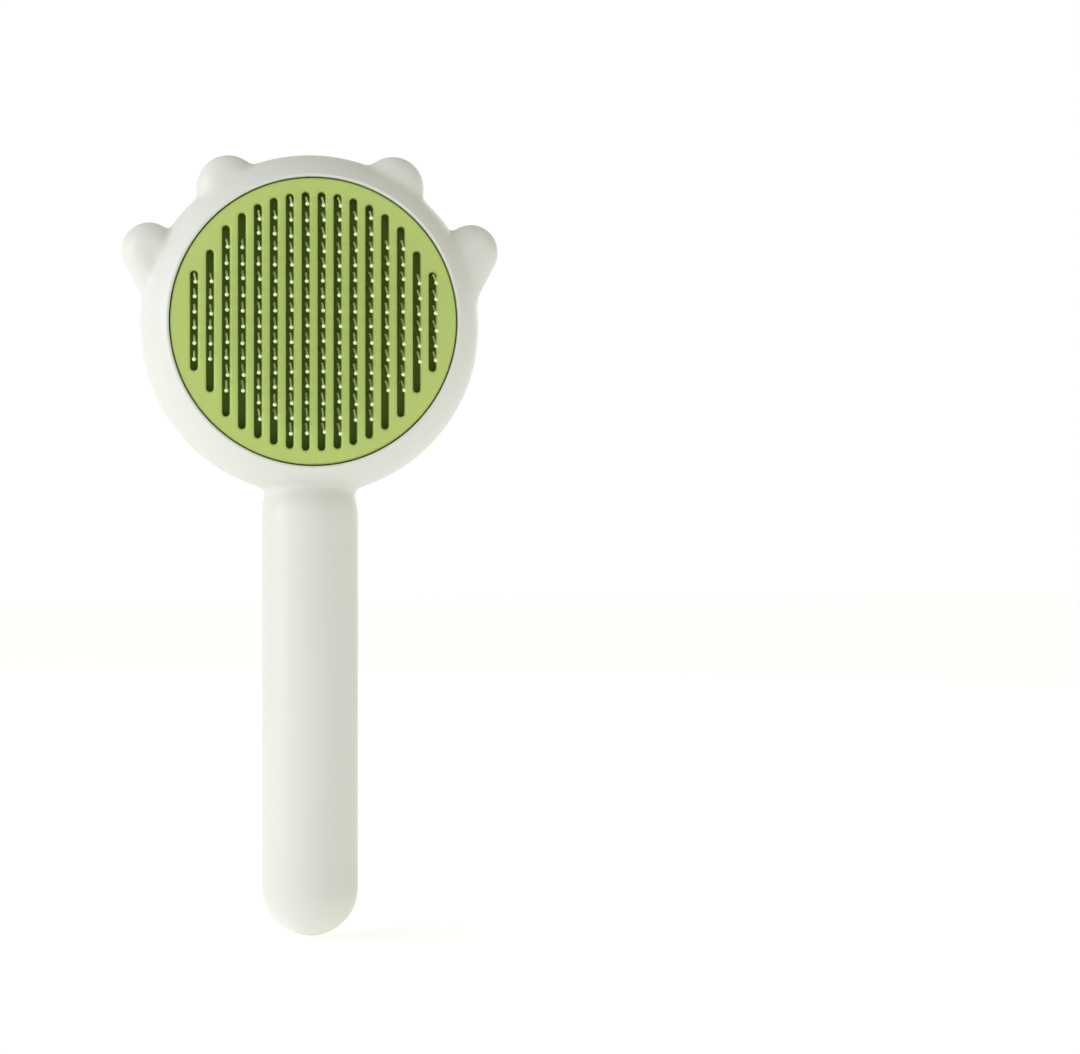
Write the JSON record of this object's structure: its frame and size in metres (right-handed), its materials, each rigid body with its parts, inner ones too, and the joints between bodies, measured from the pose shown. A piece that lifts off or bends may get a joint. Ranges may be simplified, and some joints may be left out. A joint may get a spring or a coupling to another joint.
{
  "type": "slicker brush",
  "caption": "Self-cleaning pet slicker brush: round head with four rounded lobes, bent ball-tipped wire needles, and a sprung rear push button that slides a slotted plate out over them.",
  "frame": {"origin": "on the handle's axis, halfway along its straight round grip", "axes": "+Z runs along the handle from its rounded end to the head; the needles point along -Y and the push button faces +Y; +X is to the right when the needles are looked at with the head up"},
  "size_m": [0.0962, 0.0395, 0.1995],
  "materials": {
    "shell_plastic": "satin moulded ABS",
    "plate_plastic": "satin moulded ABS",
    "button_plastic": "polished moulded ABS",
    "base_plastic": "moulded ABS in a darker green",
    "inner_plastic": "plain moulded ABS",
    "needle_wire": "drawn stainless wire",
    "spring_steel": "coiled spring wire",
    "screw_steel": "zinc plated steel",
    "tip_resin": "cured resin bead"
  },
  "bodies": {
    "housing": {"front_shell": "shell_plastic", "rear_shell": "shell_plastic", "needle_base": "base_plastic", "staple_backing_plate": "inner_plastic", "needle_base_screws": "screw_steel", "return_spring": "spring_steel", "needle_wires_1": "needle_wire", "needle_wires_2": "needle_wire", "needle_wires_3": "needle_wire", "needle_wires_4": "needle_wire", "needle_wires_5": "needle_wire", "needle_wires_6": "needle_wire", "needle_wires_7": "needle_wire", "needle_wires_8": "needle_wire", "needle_tips_1": "tip_resin", "needle_tips_2": "tip_resin", "needle_tips_3": "tip_resin", "needle_tips_4": "tip_resin", "needle_tips_5": "tip_resin", "needle_tips_6": "tip_resin", "needle_tips_7": "tip_resin", "needle_tips_8": "tip_resin", "needle_tips_border": "tip_resin"},
    "ejector": {"ejector_plate": "plate_plastic", "pusher": "inner_plastic", "pusher_screws": "screw_steel", "button": "button_plastic"}
  },
  "joints": [
    {"name": "button_push", "type": "slide", "parent": "housing", "child": "ejector", "axis": [0, -1, 0], "range_m": [0, 0.0075], "stiffness_N_per_m": 820, "springref_m": -0.0067, "deforming": ["return_spring"]}
  ]
}
